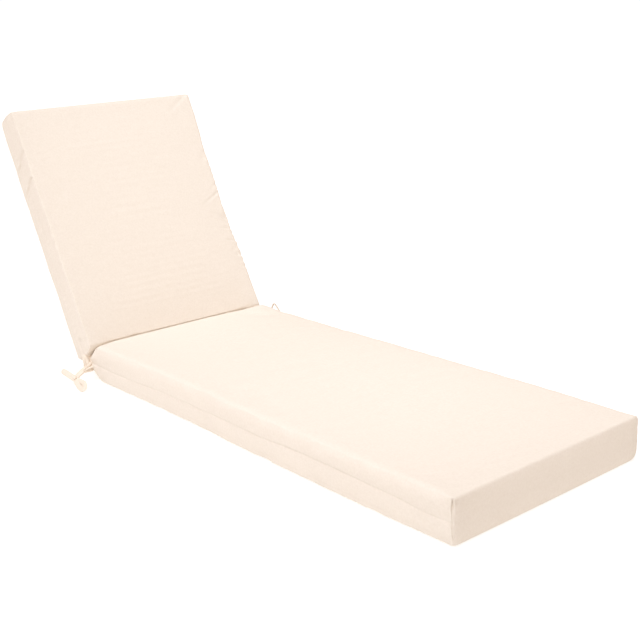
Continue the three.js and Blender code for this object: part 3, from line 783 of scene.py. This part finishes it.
def make_weave_group():
    tree = bpy.data.node_groups.new("plain_weave", "ShaderNodeTree")
    tree.interface.new_socket("Cloth Place", in_out="INPUT", socket_type="NodeSocketVector")
    tree.interface.new_socket("Threads Per Metre", in_out="INPUT", socket_type="NodeSocketFloat")
    tree.interface.new_socket("Height", in_out="OUTPUT", socket_type="NodeSocketFloat")
    tree.interface.new_socket("Tone", in_out="OUTPUT", socket_type="NodeSocketFloat")
    given = tree.nodes.new("NodeGroupInput")
    result = tree.nodes.new("NodeGroupOutput")
    split = tree.nodes.new("ShaderNodeSeparateXYZ")
    tree.links.new(given.outputs["Cloth Place"], split.inputs[0])
    per_metre = given.outputs["Threads Per Metre"]
    across = math_node(tree, "MULTIPLY", split.outputs["X"], per_metre)
    along = math_node(tree, "MULTIPLY", split.outputs["Y"], per_metre)
    warp = math_node(tree, "FLOOR", across)
    weft = math_node(tree, "FLOOR", along)
    over = math_node(tree, "FLOORED_MODULO", math_node(tree, "ADD", warp, weft), 2.0)
    rounds = []
    for place in (across, along):
        through_thread = math_node(tree, "MULTIPLY", math_node(tree, "FRACT", place), math.pi)
        rounds.append(math_node(tree, "SINE", through_thread))
    warp_round, weft_round = rounds
    dips = []
    for crossing_round in (weft_round, warp_round):
        lifted = math_node(tree, "MULTIPLY", crossing_round, 1 - THREAD_DIP)
        dips.append(math_node(tree, "ADD", lifted, THREAD_DIP))
    warp_dip, weft_dip = dips
    warp_height = math_node(tree, "MULTIPLY", warp_round, warp_dip)
    weft_height = math_node(tree, "MULTIPLY", weft_round, weft_dip)
    height = mix_node(tree, over, weft_height, warp_height)
    slow_along = math_node(tree, "MULTIPLY", along, SLUB_STRETCH)
    slow_across = math_node(tree, "MULTIPLY", across, SLUB_STRETCH)
    warp_tone = noise_node(tree, vector_node(tree, warp, slow_along), SLUB_SCALE)
    weft_tone = noise_node(tree, vector_node(tree, slow_across, weft), SLUB_SCALE)
    tone = mix_node(tree, over, weft_tone, warp_tone)
    tree.links.new(height, result.inputs["Height"])
    tree.links.new(tone, result.inputs["Tone"])
    return tree


weave = make_weave_group()
print("plain weave:", len(weave.nodes), "nodes")

# %% [markdown]
# A cloth material mixes each thread's tone with a soft mottling between a dark and a light ivory.
# Its bump has two scales: the woven threads, and a faint crumple of the whole cloth. A little sheen
# stands for the fine fibres that catch light at a glancing angle.

# %% A cloth material from the weave
SHEEN_TINT = (1.0, 0.97, 0.93, 1)
SPECULAR = 0.25
SHEEN_ROUGHNESS = 0.6
THREAD_SHARE = 0.5      # of the tone; the rest is mottling
MOTTLE_SCALE = 210.0
TONE_RANGE = (0.3, 0.7)
CRUMPLE_SCALE = 55.0
CRUMPLE_STRENGTH = 0.12
CRUMPLE_DEPTH = 4 * MM
WEAVE_STRENGTH = 0.35
WEAVE_DEPTH = 0.4 * MM


def cloth_material(name, light, dark, threads, roughness, sheen):
    """An ivory cloth: thread tones from dark to light, mottling, woven bump and a little sheen."""
    material = bpy.data.materials.new(name)
    material.use_nodes = True
    tree = material.node_tree
    shader = tree.nodes["Principled BSDF"]
    shader.inputs["Roughness"].default_value = roughness
    shader.inputs["Specular IOR Level"].default_value = SPECULAR
    shader.inputs["Sheen Weight"].default_value = sheen
    shader.inputs["Sheen Roughness"].default_value = SHEEN_ROUGHNESS
    shader.inputs["Sheen Tint"].default_value = SHEEN_TINT
    cloth_place = tree.nodes.new("ShaderNodeUVMap").outputs["UV"]
    woven = tree.nodes.new("ShaderNodeGroup")
    woven.node_tree = weave
    woven.inputs["Threads Per Metre"].default_value = threads
    tree.links.new(cloth_place, woven.inputs["Cloth Place"])
    object_place = tree.nodes.new("ShaderNodeTexCoord").outputs["Object"]
    slubs = math_node(tree, "MULTIPLY", woven.outputs["Tone"], THREAD_SHARE)
    mottle = math_node(tree, "MULTIPLY", noise_node(tree, object_place, MOTTLE_SCALE), 1 - THREAD_SHARE)
    tone = math_node(tree, "ADD", slubs, mottle)
    ramp = tree.nodes.new("ShaderNodeValToRGB")
    for element, position, colour in zip(ramp.color_ramp.elements, TONE_RANGE, (dark, light)):
        element.position = position
        element.color = (*colour, 1)
    tree.links.new(tone, ramp.inputs["Fac"])
    tree.links.new(ramp.outputs["Color"], shader.inputs["Base Color"])
    crumple = tree.nodes.new("ShaderNodeBump")
    crumple.inputs["Strength"].default_value = CRUMPLE_STRENGTH
    crumple.inputs["Distance"].default_value = CRUMPLE_DEPTH
    tree.links.new(noise_node(tree, object_place, CRUMPLE_SCALE), crumple.inputs["Height"])
    fine = tree.nodes.new("ShaderNodeBump")
    fine.inputs["Strength"].default_value = WEAVE_STRENGTH
    fine.inputs["Distance"].default_value = WEAVE_DEPTH
    tree.links.new(woven.outputs["Height"], fine.inputs["Height"])
    tree.links.new(crumple.outputs["Normal"], fine.inputs["Normal"])
    tree.links.new(fine.outputs["Normal"], shader.inputs["Normal"])
    return material


# %% The cover's cloth
COVER_LIGHT = (0.965, 0.884, 0.787)
COVER_DARK = (0.895, 0.806, 0.703)
cover_cloth = cloth_material(
    "cover_cloth", COVER_LIGHT, COVER_DARK, threads=1100, roughness=0.93, sheen=0.15
)
cushion.data.materials.append(cover_cloth)
print("cover cloth:", len(cover_cloth.node_tree.nodes), "nodes")

# %% [markdown]
# ## The tape ties
#
# Each tie is a strip of the same cloth, folded to 12.5 mm and stitched. It is sewn on at the end of
# the hinge line, where the cover is drawn together with it: a gather of pleats runs out along the
# tie, a lobe of cloth stands up behind it, and at the left end a fan of pleats lies against the
# back. Two tapes run on to a knot and end in a bow. Its flat loop points towards the head. The left
# bow's open loop lies towards the foot with a tail under it, and the right one's stands up. Straps
# are too thin to simulate, so each run is a strip of grid laid along a smooth line through a few
# places, and drawn-in cloth is a pleated tube along such a line.

# %% A smooth route through a few places
TAPE_WIDTH = 12.5 * MM
TAPE_THICKNESS = 1.7 * MM
TIE_END = WIDTH / 2 - HINGE_DRAW_IN  # how far the hinge line's end lies from the middle
ROUTE_STEPS = 20


def smooth_route(points, steps, closed=False):
    """Evenly spaced places on a Catmull-Rom line through the points, and the line's length."""
    through = np.array(points, float)
    if closed:
        through = np.vstack([through[-1:], through, through[:2]])
    else:
        before, after = 2 * through[:1] - through[1:2], 2 * through[-1:] - through[-2:-1]
        through = np.vstack([before, through, after])
    t = np.linspace(0, 1, ROUTE_STEPS, endpoint=False)[:, None]
    fine = []
    for p0, p1, p2, p3 in zip(through, through[1:], through[2:], through[3:]):
        straight = (p2 - p0) * t
        curved = (2 * p0 - 5 * p1 + 4 * p2 - p3) * t ** 2
        turning = (3 * p1 - p0 - 3 * p2 + p3) * t ** 3
        fine.append(p1 + (straight + curved + turning) / 2)
    fine = np.vstack(fine + [through[-2:-1]])
    length = np.concatenate([[0], np.cumsum(np.linalg.norm(np.diff(fine, axis=0), axis=1))])
    wanted = np.linspace(0, length[-1], steps + 1)
    route = np.stack([np.interp(wanted, length, fine[:, axis]) for axis in range(3)], axis=1)
    return route, length[-1]


def directions(centres, closed=False):
    """Which way the route runs at each of its places."""
    tangents = np.gradient(centres, axis=0)
    if closed:
        tangents[0] = tangents[-1] = centres[1] - centres[-2]
    return tangents / np.linalg.norm(tangents, axis=1)[:, None]


# %% A strip laid along a route
STRIP_COLUMNS = 6
FOLD_REACH = 0.045  # how much of a loop's length is creased narrow at its far end
EDGE_SOFTNESS = 0.5 * MM


def strip(
    name, points, lies, steps, width=TAPE_WIDTH, closed=False, cup=0.5 * MM, narrowing=0.0, turns=False
):
    """One run of tape. Its width keeps to the direction lies, or with turns, its face does."""
    centres, length = smooth_route(points, steps, closed)
    tangents = directions(centres, closed)
    wanted = np.tile(np.array(lies, float), (steps + 1, 1))
    if turns:
        wanted = np.cross(tangents, wanted)
    wanted -= np.einsum("ij,ij->i", wanted, tangents)[:, None] * tangents
    wanted /= np.linalg.norm(wanted, axis=1)[:, None]
    through = np.cross(tangents, wanted)
    bpy.ops.object.select_all(action="DESELECT")
    bpy.ops.mesh.primitive_grid_add(x_subdivisions=STRIP_COLUMNS, y_subdivisions=steps, size=1)
    piece = bpy.context.object
    piece.name = name
    grid = places(piece)
    row = np.round((grid[:, 1] + 0.5) * steps).astype(int)
    side = grid[:, 0:1]
    narrow = 1 - narrowing * np.exp(-(grid[:, 1:2] / FOLD_REACH) ** 2)
    bow_out = cup * (1 - (2 * side) ** 2)
    set_places(piece, centres[row] + wanted[row] * side * narrow * width + through[row] * bow_out)
    for loop in piece.data.uv_layers.active.data:
        loop.uv = ((loop.uv[0] - 0.5) * width, loop.uv[1] * length)
    thick = piece.modifiers.new("thick", "SOLIDIFY")
    thick.thickness = TAPE_THICKNESS
    thick.offset = 0
    apply_modifier(piece, thick)
    edge = piece.modifiers.new("edge", "BEVEL")
    edge.width = EDGE_SOFTNESS
    edge.segments = 2
    edge.limit_method = "ANGLE"
    edge.angle_limit = math.radians(50)
    apply_modifier(piece, edge)
    return piece


# %% Bunched cloth
BUNCH_AROUND = 56
BUNCH_STEPS = 18
PLEAT_TWIST = 1.6      # how far the pleats turn round the tube from end to end
PLEAT_SHARPNESS = 0.6


def bunch(name, points, radii, pleats, depth=0.24):
    """Cloth drawn together along a route: a tube whose pleats run lengthwise. radii are in mm."""
    centres, length = smooth_route(points, BUNCH_STEPS)
    tangents = directions(centres)
    level = np.cross(tangents, (0, 0, 1))
    level /= np.linalg.norm(level, axis=1)[:, None]
    upright = np.cross(level, tangents)
    bpy.ops.object.select_all(action="DESELECT")
    bpy.ops.mesh.primitive_cylinder_add(vertices=BUNCH_AROUND, radius=1, depth=1, calc_uvs=True)
    piece = bpy.context.object
    piece.name = name
    bpy.ops.object.mode_set(mode="EDIT")
    cut_edges(piece, 2, BUNCH_STEPS - 1)
    bpy.ops.object.mode_set(mode="OBJECT")
    tube = places(piece)
    turn = np.arctan2(tube[:, 1], tube[:, 0])
    share = tube[:, 2] + 0.5
    row = np.round(share * BUNCH_STEPS).astype(int)
    radius = np.interp(share, np.linspace(0, 1, len(radii)), radii) * MM
    pleat = np.abs(np.sin(pleats / 2 * turn + PLEAT_TWIST * share)) ** PLEAT_SHARPNESS
    radius = radius * (1 - depth + 2 * depth * pleat)
    aside = level[row] * (radius * np.cos(turn))[:, None]
    raised = upright[row] * (radius * np.sin(turn))[:, None]
    set_places(piece, centres[row] + aside + raised)
    for loop in piece.data.uv_layers.active.data:
        loop.uv = (loop.uv[0] * 2 * math.pi * max(radii) * MM, loop.uv[1] * length)
    return piece


# %% A bow's loop, and a knot's wrap
# share of the way from the knot to the tip, and distance to one side in mm
SLIM_LOOP = (
    (0, 2.5), (0.3, 1.8), (0.68, 2.5), (0.93, 1.7), (1, 0),
    (0.93, -1.7), (0.68, -2.5), (0.3, -1.8), (0, -2.5),
)
POINTED_LOOP = (
    (0, 2.5), (0.3, 12), (0.6, 9.6), (0.88, 3.8), (1, 0),
    (0.88, -3.8), (0.6, -9.6), (0.3, -12), (0, -2.5),
)
ROUND_LOOP = (
    (0, 0), (0.35, 1.8), (0.69, 2.5), (1.0, -0.5),
    (0.93, -9.1), (0.69, -12.8), (0.42, -10.2), (0, -1),
)
TAIL_UNDER_LOOP = ((0, -1), (0.45, -4), (0.85, -4.5))
WRAP_PLACES = 10


def loop_points(knot, tip, line, lies):
    """Places on a loop that opens beside the line from its knot to its tip."""
    out = tip - knot
    aside = np.cross(out, lies)
    aside /= np.linalg.norm(aside)
    return [knot + out * share + aside * side * MM for share, side in line]


def wrap_points(middle, axis, radius):
    """A ring round an axis, as tape that is wound once round a knot."""
    axis = np.array(axis, float) / np.linalg.norm(axis)
    level = np.cross(axis, (0, 0, 1))
    level /= np.linalg.norm(level)
    upright = np.cross(level, axis)
    turns = np.arange(WRAP_PLACES) / WRAP_PLACES * 2 * math.pi
    return [middle + (level * math.cos(turn) + upright * math.sin(turn)) * radius for turn in turns]


# %% Where each tie's parts lie
# Places are in mm from the end of the hinge line: out from the cushion, towards the head, and up.
# A loop opens in the plane that faces its lies direction, and its tape stands on edge across that
# plane, except where the open loop is flat: there the tape lies in the plane.
LEFT_TIE = {
    "mirror": -1,
    "gather": ((3, -5, -8), (11, -11, -11), (18, -15, -14), (31, -15.2, -19)),
    "gather_radii": (9, 12.5, 11, 6.5, 4),
    "lobe": ((14, -14, -9), (16, -9, 2), (17, -5, 12), (13, 1, 21)),
    "lobe_radii": (7, 8, 7.5, 6, 3),
    "fan": ((6.9, -9.0, -5.9), (6.3, -5.7, 4.4), (2.5, -2.6, 13.9), (-5.7, -1.2, 21.4)),
    "stem": ((22, -15, -15), (34, -15, -19.5), (46, -15.5, -26), (57.5, -16, -33.5)),
    "knot": (57.5, -16, -33.8),
    "flat_tip": (70, 31, -17.5),
    "flat_lies": (-0.55, 0.1, 0.8),
    "open_tip": (70, -76.5, -46.5),
    "open_lies": (0.414, -0.855, 0.311),
    "open_loop_is_flat": True,
}
RIGHT_TIE = {
    "mirror": 1,
    "gather": ((3, 0, -4), (11, 0, -6), (19, -6, -5), (32, -15, -4.5)),
    "gather_radii": (9, 12, 10.5, 6.5, 4),
    "lobe": ((14, 0, -4), (16, 6, 3), (17, 13, 8), (13, 20, 14)),
    "lobe_radii": (7, 8, 7.5, 6, 3),
    "stem": ((22, -8, -5), (33, -15, -4.5), (44, -24, -2), (56, -33, 0.6)),
    "knot": (57.8, -34, 1.7),
    "flat_tip": (82, 8, -18),
    "flat_lies": (-0.5, 0.1, 0.8),
    "open_tip": (60.5, -25, 39.5),
    "open_lies": (0.79, 0.6, -0.235),
    "open_loop_is_flat": False,
}


# %% Drawn-in cloth and stem
GATHER_PLEATS = 7
GATHER_PLEAT_DEPTH = 0.32
SMALL_PLEATS = 4
FAN_RADII = (4, 7, 8.5, 7, 4)
STEM_APART = 6.5 * MM
STEM_STEPS = 16
STEM_LIES = ((0, 0.98, -0.1), (0, 0.75, 0.66))


def spot(plan, place):
    """A plan's place in metres, in the cushion's own frame."""
    out, towards_head, up = place
    across = plan["mirror"] * (TIE_END + out * MM)
    return np.array((across, HINGE_Y + towards_head * MM, MIDDLE + up * MM))


def drawn_in_cloth(name, plan):
    """The gather, the lobe and the fan, where the plan has one."""
    gather = [spot(plan, place) for place in plan["gather"]]
    lobe = [spot(plan, place) for place in plan["lobe"]]
    bunches = [
        bunch(name + "_gather", gather, plan["gather_radii"], GATHER_PLEATS, depth=GATHER_PLEAT_DEPTH),
        bunch(name + "_lobe", lobe, plan["lobe_radii"], SMALL_PLEATS),
    ]
    if "fan" in plan:
        fan = [spot(plan, place) for place in plan["fan"]]
        bunches.append(bunch(name + "_fan", fan, FAN_RADII, SMALL_PLEATS))
    return bunches


def stem(name, plan):
    """The two tapes that run side by side to the knot."""
    tapes = []
    for number, (side, lies) in enumerate(zip((-1, 1), STEM_LIES)):
        shift = np.array((0, 0, side * STEM_APART / 2))
        line = [spot(plan, place) + shift for place in plan["stem"]]
        tapes.append(strip(name + "_stem_" + str(number), line, lies, STEM_STEPS))
    return tapes


# %% Bow
LOOP_STEPS = 48
ROUND_LOOP_STEPS = 56
ROUND_LOOP_CUP = 0.8 * MM
FLAT_LOOP_WIDTH = 16 * MM
FOLD_NARROWING = 0.6
TAIL_WIDTH = 10 * MM
TAIL_DEPTH = 3.5 * MM
TAIL_STEPS = 16
KNOT_RADIUS = 5.6 * MM
KNOT_CORE_RADII = (3.5, 5, 3.5)
KNOT_BAND = 9.5 * MM
KNOT_CUP = 1.2 * MM
KNOT_STEPS = 28


def flat_loop(name, knot, tip, lies):
    """A loop that is creased flat, with its far end folded narrow."""
    line = loop_points(knot, tip, SLIM_LOOP, lies)
    shape = {"width": FLAT_LOOP_WIDTH, "narrowing": FOLD_NARROWING}
    return strip(name + "_flat_loop", line, lies, LOOP_STEPS, **shape)


def round_loop_and_tail(name, knot, tip, lies):
    """An open loop that lies flat, and a short run of tape under it."""
    out = tip - knot
    under = np.cross(out, np.cross(out, lies))
    under /= np.linalg.norm(under)
    line = loop_points(knot, tip, ROUND_LOOP, lies)
    loop = strip(
        name + "_open_loop", line, under, ROUND_LOOP_STEPS, turns=True, cup=ROUND_LOOP_CUP
    )
    tail_line = [place + under * TAIL_DEPTH for place in loop_points(knot, tip, TAIL_UNDER_LOOP, lies)]
    tail = strip(name + "_tail", tail_line, under, TAIL_STEPS, width=TAIL_WIDTH, turns=True)
    return [loop, tail]


def knotted(name, knot, axis):
    """A knot: a small core, and one turn of tape round it."""
    reach = axis / np.linalg.norm(axis) * KNOT_BAND / 2
    core_line = [knot - reach, knot, knot + reach]
    core = bunch(name + "_knot_core", core_line, KNOT_CORE_RADII, SMALL_PLEATS)
    ring = wrap_points(knot, axis, KNOT_RADIUS)
    band = strip(
        name + "_knot", ring, axis, KNOT_STEPS, width=KNOT_BAND, closed=True, cup=KNOT_CUP
    )
    return [core, band]


# %% Tie one end
TIE_SMOOTH_ANGLE = math.radians(40)


def tie(name, plan):
    """All of a tie's runs, joined into one piece."""
    knot, flat_tip, open_tip = (spot(plan, plan[key]) for key in ("knot", "flat_tip", "open_tip"))
    turned = np.array((plan["mirror"], 1, 1))
    flat_lies, open_lies = plan["flat_lies"] * turned, plan["open_lies"] * turned
    runs = drawn_in_cloth(name, plan) + stem(name, plan)
    runs.append(flat_loop(name, knot, flat_tip, flat_lies))
    if plan["open_loop_is_flat"]:
        runs += round_loop_and_tail(name, knot, open_tip, open_lies)
    else:
        open_line = loop_points(knot, open_tip, POINTED_LOOP, open_lies)
        runs.append(strip(name + "_open_loop", open_line, open_lies, LOOP_STEPS))
    runs += knotted(name, knot, flat_tip - open_tip)
    only(runs[0])
    for run in runs:
        run.select_set(True)
    bpy.ops.object.join()
    whole = bpy.context.object
    whole.name = name + "_tape"
    bpy.ops.object.shade_smooth_by_angle(angle=TIE_SMOOTH_ANGLE)
    return whole


# %% The tape's cloth
# Painted shade: the tape is the cover's cloth, but its light and dark ivory are set a little darker
# than the cover's, to stand for the shade among the tie's small folds.
SHADED_TAPE_LIGHT = (0.93, 0.825, 0.705)
SHADED_TAPE_DARK = (0.875, 0.77, 0.65)
shaded_tape_cloth = cloth_material(
    "shaded_tape_cloth", SHADED_TAPE_LIGHT, SHADED_TAPE_DARK, threads=1300, roughness=0.9, sheen=0.12
)
print("tape cloth:", len(shaded_tape_cloth.node_tree.nodes), "nodes")

# %% The two ties stand for the CAD ties
for tie_name, plan in (("tie_left", LEFT_TIE), ("tie_right", RIGHT_TIE)):
    piece = tie(tie_name, plan)
    piece.data.materials.append(shaded_tape_cloth)
    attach(piece, "root")
    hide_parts(tie_name)
    lowest = round(places(piece)[:, 2].min() / MM, 1)
